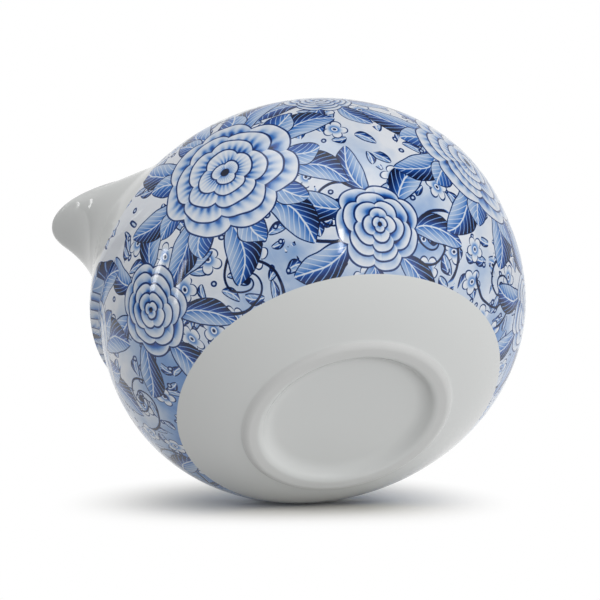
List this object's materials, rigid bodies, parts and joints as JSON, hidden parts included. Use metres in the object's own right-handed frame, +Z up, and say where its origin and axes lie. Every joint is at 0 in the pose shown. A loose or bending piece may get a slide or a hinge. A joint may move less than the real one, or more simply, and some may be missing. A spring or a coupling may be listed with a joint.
{
  "type": "teapot",
  "caption": "handleless globe teapot in glazed porcelain with a broad pouring beak, strainer behind it, low foot ring and a lift-off domed lid with a knob",
  "frame": {"origin": "where the pot's axis of revolution meets the plane of the foot ring, so the pot stands on z = 0", "axes": "+Z up along the pot's axis, +X from the axis towards the tip of the beak, +Y to the pourer's left when the beak points away"},
  "size_m": [0.1068, 0.1, 0.091],
  "materials": {
    "glazed_porcelain": "clear glaze over white porcelain"
  },
  "bodies": {
    "pot": {"pot_body": "glazed_porcelain", "pouring_beak": "glazed_porcelain", "spout_strainer": "glazed_porcelain"},
    "cover": {"lid": "glazed_porcelain", "lid_knob": "glazed_porcelain"}
  },
  "joints": [
    {"name": "lid_lift", "type": "slide", "parent": "pot", "child": "cover", "axis": [0, 0, 1], "range_m": [0, 0.04]}
  ]
}
